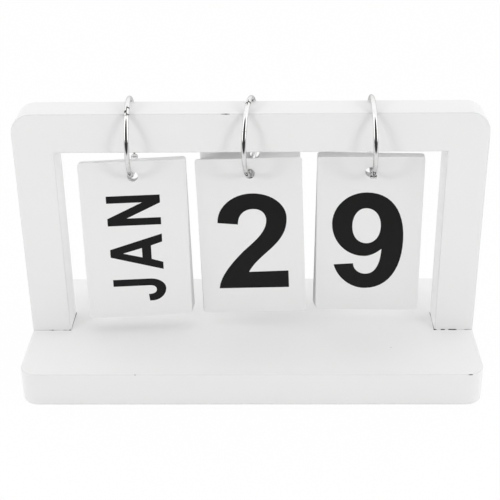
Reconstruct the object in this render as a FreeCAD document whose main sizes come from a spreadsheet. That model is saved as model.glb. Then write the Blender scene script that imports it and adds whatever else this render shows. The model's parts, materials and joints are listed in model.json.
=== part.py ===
import FreeCAD, Part
import math
import os
import Sketcher

# Perpetual desk calendar: a painted stand whose beam carries three book rings, each with a deck of cards.
# Origin: centre of the base's underside. +X runs along the beam, +Y to the back, +Z up. Millimetres.

doc = FreeCAD.newDocument("DeskCalendar")
sheet = doc.addObject("Spreadsheet::Sheet", "Sizes")

SIZES = {
    "Base board": {
        "base_depth": 98,
        "base_thickness": 18,
        "base_corner_radius": 9,
        "edge_round": 0.8,
    },
    "Arch: two posts under a beam": {
        "frame_setback": 42,
        "frame_depth": 18,
        "beam_height": 20,
        "post_width": 20,
        "arch_corner_radius": 10,
        "post_card_gap": 9.3,
        "under_card_gap": 8.48,
    },
    "Dowels and screws that hold the arch together": {
        "dowel_radius": 2.5,
        "dowel_depth": 11,
        "dowel_spare_depth": 0.5,
        "dowel_chamfer": 0.6,
        "fastener_edge_gap": 1.35,
        "screw_shank_radius": 1.75,
        "screw_length": 38,
        "screw_head_radius": 3.6,
        "screw_head_height": 2.4,
        "screw_tip_length": 4,
        "screw_sink": 0.4,
        "screw_recess_width": 0.9,
        "screw_recess_length": 3.8,
        "screw_recess_depth": 1.2,
        "fastener_clearance": 0.05,
    },
    "Book rings": {
        "ring_radius": 18.8,
        "wire_radius": 1.2,
        "ring_rest_gap": 0.3,
        "mouth_gap": 0.06,
        "wire_end_gap": 0.7,
        "wire_end_overlap": 0.6,
        "knuckle_radius": 1.2,
        "knuckle_outset": 0.85,
        "knuckle_ear_width": 0.9,
        "knuckle_neck_inset": 1,
        "knuckle_neck_outset": 0.5,
        "tongue_width": 0.9,
        "leaf_gap": 0.1,
        "hinge_pin_radius": 0.5,
        "hinge_pin_clearance": 0.03,
        "rivet_head_radius": 0.8,
        "rivet_head_height": 0.15,
        "latch_radius": 0.45,
        "latch_length": 0.8,
        "latch_clearance": 0.12,
    },
    "Cards": {
        "card_width": 53,
        "card_height": 84.5,
        "card_thickness": 0.35,
        "card_corner_radius": 1.5,
        "card_hole_radius": 2.6,
        "card_hole_drop": 8,
        "card_hang_gap": 0.3,
        "card_pitch": 0.43,
        "deck_gap": 6.2,
    },
    "How far each ring is from its even place on the beam": {
        "month_ring_shift": 0.65,
        "tens_ring_shift": -0.15,
        "ones_ring_shift": 0.3,
    },
    "How far each group's holes are from the wire's middle": {
        "month_side_shift": 0.5,
        "tens_side_shift": -0.32,
        "turned_side_shift": 0.35,
        "ones_side_shift": -0.55,
    },
    "How far each group's holes are punched from the cards' middle": {
        "month_hole_shift": 0.2,
        "tens_hole_shift": 0.55,
        "turned_hole_shift": 2,
        "ones_hole_shift": -0.1,
    },
}

# Sizes that follow from the others: the arch is as wide and as high as the hanging cards need.
FORMULAS = {
    "ring_spacing": "card_width + deck_gap",
    "base_width": "3 * card_width + 2 * (deck_gap + post_card_gap + post_width)",
    "card_play": "card_hole_radius - wire_radius - card_hang_gap",
    "ring_seat_reach": "ring_radius - wire_radius - ring_rest_gap - edge_round",
    "ring_drop": "edge_round + sqrt(ring_seat_reach ^ 2 - (frame_depth / 2 - edge_round) ^ 2)",
    "frame_height": (
        "under_card_gap + card_height - card_hole_drop + card_play + ring_radius + ring_drop"),
    "fastener_offset": (
        "post_width / 2 - screw_head_radius - screw_sink - fastener_clearance - fastener_edge_gap"),
    "knuckle_width": "2 * (knuckle_ear_width + leaf_gap) + tongue_width",
    "wire_end_reach": "knuckle_radius + wire_end_gap",
}

# Angles in degrees: each ring's turn about the upright, its lean to the side, and where its hinge is,
# counted from the ring's lowest point towards the front.
RING_ANGLES = {
    "month": {"turn": 0.8, "lean": 0.3, "hinge": -38},
    "tens": {"turn": -8, "lean": 0, "hinge": -62},
    "ones": {"turn": 0.6, "lean": -1.8, "hinge": 20.5},
}

# Angles in degrees: where the first card of a group hangs on its ring, the group's turn about the
# upright, and the pitch and roll of its first and its last card.
GROUP_ANGLES = {
    "month": {"place": 14, "turn": 4.6, "pitch": (-4.2, -1.3), "roll": (-0.3, -1.2)},
    "tens": {"place": 0, "turn": -1.8, "pitch": (-3.5, -3.2), "roll": (-2.1, -1.7)},
    "turned": {"place": -41, "turn": 20, "pitch": (-1.5, -1.3), "roll": (0, 0.4)},
    "ones": {"place": -3, "turn": -1.1, "pitch": (-2.6, -2.3), "roll": (-0.1, 0.8)},
}

MONTHS = (
    "january", "february", "march", "april", "may", "june",
    "july", "august", "september", "october", "november", "december",
)


def fill_sheet():
    """Write every size into the sheet with its alias, and under them those that follow from others."""
    formulas = {alias: f"={formula}" for alias, formula in FORMULAS.items()}
    row = 1
    for heading, values in {**SIZES, "Sizes that follow from the others": formulas}.items():
        sheet.set(f"A{row}", heading)
        row += 1
        for alias, value in values.items():
            sheet.set(f"A{row}", alias.replace("_", " "))
            sheet.set(f"B{row}", str(value))
            sheet.setAlias(f"B{row}", alias)
            row += 1
        doc.recompute()


def size(alias):
    """A size as the sheet holds it."""
    return float(sheet.get(alias))


# Expressions that several pieces share
POST_HEIGHT = "Sizes.frame_height - Sizes.beam_height"
POST_CENTRE = "(Sizes.base_width - Sizes.post_width) / 2"
FRAME_CENTRE = "Sizes.frame_setback + (Sizes.frame_depth - Sizes.base_depth) / 2"
HOLE_DEPTH = "Sizes.dowel_depth + Sizes.dowel_spare_depth"
DOWEL_HOLE_RADIUS = "Sizes.dowel_radius + Sizes.fastener_clearance"
PILOT_RADIUS = "Sizes.screw_shank_radius + Sizes.fastener_clearance"
KNUCKLE_PLACE = "Sizes.ring_radius + Sizes.knuckle_outset"


def bind(piece, **expressions):
    """Bind properties to expressions on the sheet; a double underscore stands for a dot."""
    for name, expression in expressions.items():
        piece.setExpression(name.replace("__", "."), expression)


def new_body(label):
    body = doc.addObject("PartDesign::Body", label)
    body.Label = label
    return body


def origin_plane(body, role):
    return next(plane for plane in body.Origin.OriginFeatures if plane.Role == role)


def new_sketch(body, name, role, height=None):
    """A sketch on one of the body's own planes, raised by an expression if one is given."""
    sketch = body.newObject("Sketcher::SketchObject", name)
    sketch.AttachmentSupport = [(origin_plane(body, role), "")]
    sketch.MapMode = "FlatFace"
    if height:
        bind(sketch, AttachmentOffset__Base__z=height)
    return sketch


def draw_rectangle(sketch, width, height):
    """A rectangle centred on the sketch's origin, its sides bound to two expressions."""
    half_width = float(sketch.evalExpression(width)) / 2
    half_height = float(sketch.evalExpression(height)) / 2
    corners = [
        FreeCAD.Vector(-half_width, -half_height, 0),
        FreeCAD.Vector(half_width, -half_height, 0),
        FreeCAD.Vector(half_width, half_height, 0),
        FreeCAD.Vector(-half_width, half_height, 0),
    ]
    lines = [
        sketch.addGeometry(Part.LineSegment(corners[i], corners[(i + 1) % 4]), False)
        for i in range(4)
    ]
    for i in range(4):
        sketch.addConstraint(Sketcher.Constraint("Coincident", lines[i], 2, lines[(i + 1) % 4], 1))
    for i in (0, 2):
        sketch.addConstraint(Sketcher.Constraint("Horizontal", lines[i]))
    for i in (1, 3):
        sketch.addConstraint(Sketcher.Constraint("Vertical", lines[i]))
    sketch.addConstraint(Sketcher.Constraint("Symmetric", lines[0], 1, lines[2], 1, -1, 1))
    datums = (
        ("DistanceX", lines[0], 2 * half_width, width),
        ("DistanceY", lines[1], 2 * half_height, height),
    )
    for kind, line, value, expression in datums:
        index = sketch.addConstraint(Sketcher.Constraint(kind, line, 1, line, 2, value))
        sketch.setExpression(f"Constraints[{index}]", expression)


def draw_circle(sketch, across, along, radius):
    """A circle whose centre and radius follow expressions; a centre on an axis is given as 0."""
    centre = [float(sketch.evalExpression(expression)) for expression in (across, along)]
    length = float(sketch.evalExpression(radius))
    circle = sketch.addGeometry(
        Part.Circle(FreeCAD.Vector(centre[0], centre[1], 0), FreeCAD.Vector(0, 0, 1), length), False)
    places = (("DistanceX", centre[0], across, -2), ("DistanceY", centre[1], along, -1))
    for kind, place, expression, axis in places:
        if expression == "0":
            sketch.addConstraint(Sketcher.Constraint("PointOnObject", circle, 3, axis))
        elif place > 0:
            index = sketch.addConstraint(Sketcher.Constraint(kind, -1, 1, circle, 3, place))
            sketch.setExpression(f"Constraints[{index}]", expression)
        else:
            index = sketch.addConstraint(Sketcher.Constraint(kind, circle, 3, -1, 1, -place))
            sketch.setExpression(f"Constraints[{index}]", f"-({expression})")
    index = sketch.addConstraint(Sketcher.Constraint("Radius", circle, length))
    sketch.setExpression(f"Constraints[{index}]", radius)


def pad(body, sketch, length, midplane=False):
    feature = body.newObject("PartDesign::Pad", "Pad")
    feature.Profile = sketch
    feature.Midplane = midplane
    bind(feature, Length=length)
    doc.recompute()
    return feature


def pocket(body, sketch, length, upwards=False):
    """Cut the sketch into the body, and make sure that it took material away."""
    before = body.Shape.Volume
    feature = body.newObject("PartDesign::Pocket", "Pocket")
    feature.Profile = sketch
    feature.Reversed = upwards
    bind(feature, Length=length)
    doc.recompute()
    if not body.Shape.Volume < before:
        raise ValueError(f"{body.Label}: a pocket cuts nothing")
    return feature


def round_edges(body, base, radius, chosen):
    """Fillet the edges of the last feature that the chosen test picks."""
    names = [f"Edge{i}" for i, edge in enumerate(base.Shape.Edges, 1) if chosen(edge)]
    feature = body.newObject("PartDesign::Fillet", "Fillet")
    feature.Base = (base, names)
    bind(feature, Radius=radius)
    doc.recompute()
    return feature


def runs_along(edge, axis):
    """Whether an edge is straight and parallel to an axis."""
    if not isinstance(edge.Curve, Part.Line):
        return False
    return abs(edge.Curve.Direction.dot(axis)) > 0.999


X_AXIS = FreeCAD.Vector(1, 0, 0)
Y_AXIS = FreeCAD.Vector(0, 1, 0)
Z_AXIS = FreeCAD.Vector(0, 0, 1)


def lies_at(edge, axis, level):
    """Whether all of an edge lies at one level along an axis."""
    slack = size("fastener_clearance") / 2
    return all(abs(vertex.Point.dot(axis) - level) < slack for vertex in edge.Vertexes)


def part_object(kind, name, **expressions):
    """A Part primitive or boolean with its sizes bound to expressions."""
    piece = doc.addObject(kind, name)
    bind(piece, **expressions)
    return piece


def fuse(name, *pieces):
    joined = doc.addObject("Part::MultiFuse", name)
    joined.Shapes = list(pieces)
    return joined


def cut(name, base, tool):
    result = doc.addObject("Part::Cut", name)
    result.Base = base
    result.Tool = tool
    return result


def common(name, base, tool):
    result = doc.addObject("Part::Common", name)
    result.Base = base
    result.Tool = tool
    return result


def cylinder(name, radius, length, x="0", y="0", z="0"):
    return part_object(
        "Part::Cylinder", name, Radius=radius, Height=length,
        Placement__Base__x=x, Placement__Base__y=y, Placement__Base__z=z)


def box(name, length, width, height, x, y, z):
    return part_object(
        "Part::Box", name, Length=length, Width=width, Height=height,
        Placement__Base__x=x, Placement__Base__y=y, Placement__Base__z=z)


def make_base_board():
    """The base: a board with round corners, holes for dowels on top and countersunk screw holes below."""
    body = new_body("base_board")
    outline = new_sketch(body, "Outline", "XY_Plane")
    draw_rectangle(outline, "Sizes.base_width", "Sizes.base_depth")
    board = pad(body, outline, "Sizes.base_thickness")
    board = round_edges(
        body, board, "Sizes.base_corner_radius", lambda edge: runs_along(edge, Z_AXIS))
    levels = (0, size("base_thickness"))
    round_edges(
        body, board, "Sizes.edge_round",
        lambda edge: any(lies_at(edge, Z_AXIS, level) for level in levels))

    dowel_holes = new_sketch(body, "DowelHoles", "XY_Plane", "Sizes.base_thickness")
    for side in ("-", ""):
        draw_circle(
            dowel_holes, f"{side}({POST_CENTRE} - Sizes.fastener_offset)", FRAME_CENTRE,
            DOWEL_HOLE_RADIUS)
    pocket(body, dowel_holes, HOLE_DEPTH)

    before = body.Shape.Volume
    screw_holes = new_sketch(body, "ScrewHoles", "XY_Plane")
    for side in ("-", ""):
        draw_circle(
            screw_holes, f"{side}({POST_CENTRE} + Sizes.fastener_offset)", FRAME_CENTRE,
            PILOT_RADIUS)
    doc.recompute()
    hole = body.newObject("PartDesign::Hole", "CountersunkHoles")
    hole.Profile = screw_holes
    hole.ThreadType = "None"
    hole.DepthType = "ThroughAll"
    hole.Reversed = True
    hole.HoleCutType = "Countersink"
    hole.HoleCutCustomValues = True
    bind(
        hole,
        Diameter=f"2 * ({PILOT_RADIUS})",
        HoleCutDiameter="2 * (Sizes.screw_head_radius + Sizes.screw_sink + Sizes.fastener_clearance)",
        HoleCutCountersinkAngle=(
            "2 * atan((Sizes.screw_head_radius - Sizes.screw_shank_radius) / Sizes.screw_head_height)"))
    doc.recompute()
    if not body.Shape.Volume < before:
        raise ValueError("base_board: the screw holes cut nothing")
    return body


def make_arch_blank():
    """The outline of the whole arch with its rounded edges, which the posts and the beam are parts of."""
    body = new_body("arch_blank")
    outline = new_sketch(body, "Outline", "XZ_Plane")
    draw_rectangle(outline, "Sizes.base_width", "Sizes.frame_height")
    blank = pad(body, outline, "Sizes.frame_depth", midplane=True)
    top = size("frame_height") / 2
    blank = round_edges(
        body, blank, "Sizes.arch_corner_radius",
        lambda edge: runs_along(edge, Y_AXIS) and lies_at(edge, Z_AXIS, top))

    window = new_sketch(body, "Window", "XZ_Plane")
    draw_rectangle(window, "Sizes.base_width - 2 * Sizes.post_width", "Sizes.frame_height")
    bind(window, AttachmentOffset__Base__y="-Sizes.beam_height")
    cut_out = body.newObject("PartDesign::Pocket", "Pocket")
    cut_out.Profile = window
    cut_out.Midplane = True
    bind(cut_out, Length="2 * Sizes.frame_depth")
    doc.recompute()
    front = size("frame_depth") / 2

    def on_a_face(edge):
        on_face = lies_at(edge, Y_AXIS, front) or lies_at(edge, Y_AXIS, -front)
        return on_face and not lies_at(edge, Z_AXIS, -top)

    round_edges(body, cut_out, "Sizes.edge_round", on_a_face)
    return body


def fastener_holes(name, radius, depth, centres, level):
    """Upright blind holes from one level, as one tool."""
    holes = [
        cylinder(f"{name}_{i}", radius, depth, x, "0", level)
        for i, x in enumerate(centres, 1)
    ]
    return fuse(name, *holes)


def make_arch(blank):
    """The two posts and the beam: parts of one arch, met square at the beam's underside."""
    half_height = "Sizes.frame_height / 2"
    seam = f"{half_height} - Sizes.beam_height"
    outer = f"({POST_CENTRE} + Sizes.fastener_offset)"
    inner = f"({POST_CENTRE} - Sizes.fastener_offset)"
    pieces = []
    for side, sign in (("left", "-"), ("right", "")):
        centre = f"{sign}({POST_CENTRE})"
        room = box(
            f"{side}_post_room", "Sizes.post_width * 2", "Sizes.frame_depth * 2", POST_HEIGHT,
            f"{centre} - Sizes.post_width", "-Sizes.frame_depth", f"-({half_height})")
        stick = common(f"{side}_post_stick", blank, room)
        dowel_hole = cylinder(
            f"{side}_post_foot_dowel_hole", DOWEL_HOLE_RADIUS, HOLE_DEPTH,
            sign + inner, "0", f"-({half_height})")
        screw_hole = cylinder(
            f"{side}_post_screw_hole", PILOT_RADIUS,
            "Sizes.screw_length - Sizes.base_thickness + Sizes.dowel_spare_depth",
            sign + outer, "0", f"-({half_height})")
        top_holes = fastener_holes(
            f"{side}_post_top_holes", DOWEL_HOLE_RADIUS, HOLE_DEPTH,
            (sign + inner, sign + outer), f"{seam} - ({HOLE_DEPTH})")
        holes = fuse(f"{side}_post_holes", dowel_hole, screw_hole, top_holes)
        post = cut(f"{side}_post", stick, holes)
        pieces.append(post)
    room = box(
        "beam_room", "Sizes.base_width * 2", "Sizes.frame_depth * 2", "Sizes.beam_height * 2",
        "-Sizes.base_width", "-Sizes.frame_depth", seam)
    stick = common("beam_stick", blank, room)
    centres = [sign + place for sign in ("-", "") for place in (inner, outer)]
    beam = cut(
        "top_beam", stick,
        fastener_holes("beam_holes", DOWEL_HOLE_RADIUS, HOLE_DEPTH, centres, seam))
    pieces.append(beam)
    for piece in pieces:
        piece.Label = piece.Name
        bind(
            piece, Placement__Base__y=FRAME_CENTRE,
            Placement__Base__z=f"Sizes.base_thickness + {half_height}")
    return pieces


def make_dowels(label, centres, level):
    """Wooden dowels with chamfered ends, half in each of the two pieces that meet at a level."""
    dowels = []
    for i, centre in enumerate(centres, 1):
        peg = cylinder(
            f"{label}_peg_{i}", "Sizes.dowel_radius", "2 * Sizes.dowel_depth",
            centre, "0", "-Sizes.dowel_depth")
        doc.recompute()
        rim = [j for j, edge in enumerate(peg.Shape.Edges, 1) if isinstance(edge.Curve, Part.Circle)]
        chamfered = doc.addObject("Part::Chamfer", f"{label}_{i}")
        chamfered.Base = peg
        chamfered.Edges = [(j, size("dowel_chamfer"), size("dowel_chamfer")) for j in rim]
        dowels.append(chamfered)
    group = fuse(label, *dowels)
    group.Label = label
    bind(group, Placement__Base__y=FRAME_CENTRE, Placement__Base__z=level)
    return group


def make_base_screws():
    """Two countersunk screws, up through the base into the feet of the posts."""
    screws = []
    head_top = "Sizes.screw_head_height"
    for i, side in enumerate(("-", ""), 1):
        centre = f"{side}({POST_CENTRE} + Sizes.fastener_offset)"
        head = part_object(
            "Part::Cone", f"screw_head_{i}", Radius1="Sizes.screw_head_radius",
            Radius2="Sizes.screw_shank_radius", Height=head_top, Placement__Base__x=centre)
        shank = cylinder(
            f"screw_shank_{i}", "Sizes.screw_shank_radius",
            f"Sizes.screw_length - Sizes.screw_tip_length - {head_top}", centre, "0", head_top)
        tip = part_object(
            "Part::Cone", f"screw_tip_{i}", Radius1="Sizes.screw_shank_radius",
            Radius2="Sizes.fastener_clearance", Height="Sizes.screw_tip_length",
            Placement__Base__x=centre, Placement__Base__z="Sizes.screw_length - Sizes.screw_tip_length")
        slots = []
        for j, (long_side, short_side) in enumerate((("length", "width"), ("width", "length")), 1):
            slots.append(box(
                f"screw_slot_{i}_{j}", f"Sizes.screw_recess_{long_side}",
                f"Sizes.screw_recess_{short_side}", "Sizes.screw_recess_depth",
                f"{centre} - Sizes.screw_recess_{long_side} / 2",
                f"-Sizes.screw_recess_{short_side} / 2", "0"))
        blank = fuse(f"screw_blank_{i}", head, shank, tip)
        screws.append(cut(f"screw_{i}", blank, fuse(f"screw_recess_{i}", *slots)))
    group = fuse("base_screws", *screws)
    group.Label = "base_screws"
    bind(group, Placement__Base__y=FRAME_CENTRE, Placement__Base__z="Sizes.screw_sink")
    return group


# A half ring is drawn round its own Z axis, with the hinge on +X and the mouth on -X.
HALF_RING_SWEEP = (
    "180 - (Sizes.wire_end_reach + Sizes.mouth_gap) / Sizes.ring_radius * 180 / pi")
WIRE_START = "Sizes.wire_end_reach / Sizes.ring_radius * 180 / pi"


def half_ring_blank(label, leaf_width):
    """Half a ring of wire with a neck and an eye at its hinge end, of a given width."""
    wire = part_object(
        "Part::Torus", f"{label}_wire", Radius1="Sizes.ring_radius", Radius2="Sizes.wire_radius",
        Angle3=HALF_RING_SWEEP)
    wire.Placement = FreeCAD.Placement(
        FreeCAD.Vector(), FreeCAD.Rotation(Z_AXIS, float(wire.evalExpression(WIRE_START))))
    eye = cylinder(
        f"{label}_eye", "Sizes.knuckle_radius", leaf_width, KNUCKLE_PLACE, "0", f"-({leaf_width}) / 2")
    neck = box(
        f"{label}_neck", "Sizes.knuckle_neck_inset + Sizes.knuckle_neck_outset",
        "Sizes.wire_end_reach + Sizes.wire_end_overlap", leaf_width,
        f"{KNUCKLE_PLACE} - Sizes.knuckle_neck_inset", "0", f"-({leaf_width}) / 2")
    return fuse(f"{label}_blank", wire, eye, neck)


def make_carrier(label):
    """The half that carries the deck: its hinge end is a fork, its mouth end has the latch nib."""
    blank = half_ring_blank(label, "Sizes.knuckle_width")
    slot_width = "Sizes.tongue_width + 2 * Sizes.leaf_gap"
    slot = cylinder(
        f"{label}_slot", "Sizes.knuckle_radius + 2 * Sizes.leaf_gap", slot_width,
        KNUCKLE_PLACE, "0", f"-({slot_width}) / 2")
    hole = cylinder(
        f"{label}_pin_hole", "Sizes.hinge_pin_radius + Sizes.hinge_pin_clearance",
        "2 * Sizes.knuckle_width", KNUCKLE_PLACE, "0", "-Sizes.knuckle_width")
    nib = cylinder(
        f"{label}_nib", "Sizes.latch_radius", "Sizes.latch_length + 2 * Sizes.mouth_gap",
        "-Sizes.ring_radius", "2 * Sizes.mouth_gap")
    nib.Placement.Rotation = FreeCAD.Rotation(X_AXIS, 90)
    with_nib = fuse(f"{label}_with_nib", blank, nib)
    return cut(label, with_nib, fuse(f"{label}_cuts", slot, hole))


def make_clasp(label):
    """The half that opens: its hinge end is a tongue, its mouth end has the socket for the nib."""
    blank = half_ring_blank(label, "Sizes.tongue_width")
    hole = cylinder(
        f"{label}_pin_hole", "Sizes.hinge_pin_radius + Sizes.hinge_pin_clearance",
        "2 * Sizes.knuckle_width", KNUCKLE_PLACE, "0", "-Sizes.knuckle_width")
    socket = cylinder(
        f"{label}_socket", "Sizes.latch_radius + Sizes.latch_clearance",
        "Sizes.latch_length + 2 * Sizes.latch_clearance", "-Sizes.ring_radius",
        "Sizes.latch_length + 2 * Sizes.latch_clearance")
    socket.Placement.Rotation = FreeCAD.Rotation(X_AXIS, 90)
    return cut(label, blank, fuse(f"{label}_cuts", hole, socket))


def make_pin(label):
    """The rivet that the two halves turn on, with a flat head on each side."""
    shank = cylinder(
        f"{label}_shank", "Sizes.hinge_pin_radius", "Sizes.knuckle_width",
        KNUCKLE_PLACE, "0", "-Sizes.knuckle_width / 2")
    heads = [
        cylinder(
            f"{label}_head_{i}", "Sizes.rivet_head_radius", "Sizes.rivet_head_height",
            KNUCKLE_PLACE, "0", level)
        for i, level in enumerate((
            "-Sizes.knuckle_width / 2 - Sizes.rivet_head_height", "Sizes.knuckle_width / 2"), 1)
    ]
    return fuse(label, shank, *heads)


def frame_axes(x, y, z):
    """The rotation that takes the axes to three unit vectors."""
    return FreeCAD.Rotation(FreeCAD.Matrix(
        x.x, y.x, z.x, 0, x.y, y.y, z.y, 0, x.z, y.z, z.z, 0, 0, 0, 0, 1))


class Ring:
    """Where one ring hangs, its wire on the two top edges of the beam: its centre and its own axes.
    Angles on it are counted from its lowest point towards the front."""

    def __init__(self, name, place):
        self.name = name
        angles = RING_ANGLES[name]
        turn = FreeCAD.Rotation(Z_AXIS, angles["turn"])
        lean = FreeCAD.Rotation(Y_AXIS, angles["lean"])
        pose = turn * lean
        self.axis = pose.multVec(X_AXIS)
        self.back = pose.multVec(Y_AXIS)
        self.up = pose.multVec(Z_AXIS)
        beam_middle = size("frame_setback") + (size("frame_depth") - size("base_depth")) / 2
        height = size("base_thickness") + size("frame_height") - size("ring_drop")
        self.centre = FreeCAD.Vector(place + size(f"{name}_ring_shift"), beam_middle, height)
        self.hinge_angle = angles["hinge"]

    def direction(self, angle):
        """From the centre to a point of the wire."""
        bend = math.radians(angle)
        return self.back * -math.sin(bend) - self.up * math.cos(bend)

    def wire_point(self, angle):
        return self.centre + self.direction(angle) * size("ring_radius")

    def half_pose(self, towards_front):
        """The pose of a half ring that runs from the hinge with rising or falling angle."""
        x = self.direction(self.hinge_angle)
        z = self.axis * (-1 if towards_front else 1)
        return FreeCAD.Placement(self.centre, frame_axes(x, z.cross(x), z))


def make_ring(ring):
    """The carrier holds the lowest point of the ring, and the clasp is the other half."""
    carrier_rises = ring.hinge_angle < 0
    halves = (
        (make_carrier(f"{ring.name}_ring_carrier"), carrier_rises),
        (make_clasp(f"{ring.name}_ring_clasp"), not carrier_rises),
        (make_pin(f"{ring.name}_ring_pin"), carrier_rises),
    )
    for half, rises in halves:
        half.Label = half.Name
        half.Placement = ring.half_pose(rises)
    return [half for half, rises in halves]


def make_card(label, group):
    """One card, drawn round its middle, with its hole under the top edge."""
    body = new_body(label)
    outline = new_sketch(body, "Outline", "XZ_Plane")
    draw_rectangle(outline, "Sizes.card_width", "Sizes.card_height")
    draw_circle(
        outline, f"Sizes.{group}_hole_shift", "Sizes.card_height / 2 - Sizes.card_hole_drop",
        "Sizes.card_hole_radius")
    sheet_of_card = pad(body, outline, "Sizes.card_thickness", midplane=True)
    round_edges(
        body, sheet_of_card, "Sizes.card_corner_radius", lambda edge: runs_along(edge, Y_AXIS))
    return body


def card_pose(ring, group, angle, pitch, roll, turn):
    """A card hanging on the wire, its hole's upper edge just clear of the wire."""
    slant = math.cos(math.radians(angle + pitch)) * math.cos(math.radians(turn))
    thickness_share = math.sqrt(1 / slant ** 2 - 1) / 2
    play = (
        size("card_hole_radius") - size("wire_radius") / slant - size("card_hang_gap")
        - size("card_thickness") * thickness_share)
    side_shift = size(f"{group}_side_shift")
    drop = math.sqrt(max(play ** 2 - side_shift ** 2, 0))
    hole = ring.wire_point(angle) + FreeCAD.Vector(side_shift, 0, -drop)
    rotation = (
        FreeCAD.Rotation(Z_AXIS, turn) * FreeCAD.Rotation(X_AXIS, pitch)
        * FreeCAD.Rotation(Y_AXIS, roll))
    to_hole = FreeCAD.Vector(
        size(f"{group}_hole_shift"), 0, size("card_height") / 2 - size("card_hole_drop"))
    return FreeCAD.Placement(hole - rotation.multVec(to_hole), rotation), slant


def hang_cards(ring, group, labels):
    """A group of cards along the wire, one pitch apart from front to back, fanned a little."""
    cards = []
    angles = GROUP_ANGLES[group]
    angle = angles["place"]
    for i, label in enumerate(labels):
        share = i / max(len(labels) - 1, 1)
        pitch, roll = (
            first * (1 - share) + last * share for first, last in (angles["pitch"], angles["roll"]))
        card = make_card(label, group)
        card.Placement, slant = card_pose(ring, group, angle, pitch, roll, angles["turn"])
        angle -= math.degrees(size("card_pitch") / slant / size("ring_radius"))
        cards.append(card)
    return cards


def make_parts():
    parts = [make_base_board()]
    parts += make_arch(make_arch_blank())
    sides = ("-", "")
    parts.append(make_dowels(
        "base_dowels", [f"{side}({POST_CENTRE} - Sizes.fastener_offset)" for side in sides],
        "Sizes.base_thickness"))
    parts.append(make_dowels(
        "beam_dowels",
        [f"{side}({POST_CENTRE} {way} Sizes.fastener_offset)" for side in sides for way in "-+"],
        f"Sizes.base_thickness + {POST_HEIGHT}"))
    parts.append(make_base_screws())

    spacing = size("ring_spacing")
    places = (("month", -spacing), ("tens", 0), ("ones", spacing))
    month, tens, ones = (Ring(name, place) for name, place in places)
    for ring in (month, tens, ones):
        parts += make_ring(ring)
    parts += hang_cards(month, "month", [f"{name}_card" for name in MONTHS])
    parts += hang_cards(tens, "tens", ["tens_card_2", "tens_card_3"])
    parts += hang_cards(tens, "turned", ["tens_card_0", "tens_card_1"])
    parts += hang_cards(ones, "ones", [f"ones_card_{(9 + i) % 10}" for i in range(10)])
    return parts


def check(parts):
    """Stop if any object failed or any part is empty or not a valid solid."""
    for piece in doc.Objects:
        if "Invalid" in piece.State or "Error" in piece.State:
            raise ValueError(f"{piece.Label} failed: {piece.State}")
    for part in parts:
        if part.Shape.isNull() or not part.Shape.isValid() or not part.Shape.Solids:
            raise ValueError(f"{part.Label} has no valid solid")


fill_sheet()
all_parts = make_parts()
doc.recompute()
check(all_parts)
os.makedirs("parts", exist_ok=True)
for part in all_parts:
    part.Shape.exportStep(f"parts/{part.Label}.step")
    print(part.Label, len(part.Shape.Solids), round(part.Shape.Volume, 1))
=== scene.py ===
"""The perpetual desk calendar dressed for its picture: paint, card, print and chrome."""
import json
import math
import bmesh
import bpy
from mathutils import Matrix, Vector
from mathutils.geometry import tessellate_polygon


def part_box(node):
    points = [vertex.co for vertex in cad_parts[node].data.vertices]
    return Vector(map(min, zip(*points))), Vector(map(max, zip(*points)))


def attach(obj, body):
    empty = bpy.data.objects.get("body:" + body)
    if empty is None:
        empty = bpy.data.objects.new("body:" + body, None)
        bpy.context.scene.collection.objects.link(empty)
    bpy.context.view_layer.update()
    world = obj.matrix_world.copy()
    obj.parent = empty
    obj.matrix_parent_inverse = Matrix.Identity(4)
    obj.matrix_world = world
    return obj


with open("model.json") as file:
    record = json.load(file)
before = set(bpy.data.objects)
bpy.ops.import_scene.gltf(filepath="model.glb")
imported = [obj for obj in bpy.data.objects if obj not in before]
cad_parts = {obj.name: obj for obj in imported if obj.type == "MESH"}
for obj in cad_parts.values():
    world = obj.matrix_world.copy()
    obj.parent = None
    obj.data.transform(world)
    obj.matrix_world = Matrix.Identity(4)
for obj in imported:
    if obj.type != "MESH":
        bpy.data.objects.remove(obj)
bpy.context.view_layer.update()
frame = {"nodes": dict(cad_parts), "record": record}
nodes = frame["nodes"]
behaviour = frame["record"]["behaviour"]
joints = {joint["name"]: joint for joint in behaviour["joints"]}
body_of_node = {
    node: body for body, members in behaviour["bodies"].items() for node in members}
MM = 0.001


def put(name, data):
    """A new object in the scene."""
    made = bpy.data.objects.new(name, data)
    bpy.context.scene.collection.objects.link(made)
    return made


def grey(level, warmth=0.0):
    """A grey, a little warmer or cooler by the share."""
    return (level * (1 + warmth), level, level * (1 - warmth), 1)


def limits(node):
    """A node's lowest and highest corners, in millimetres."""
    low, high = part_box(node)
    return low / MM, high / MM


# Shader sums

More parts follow.
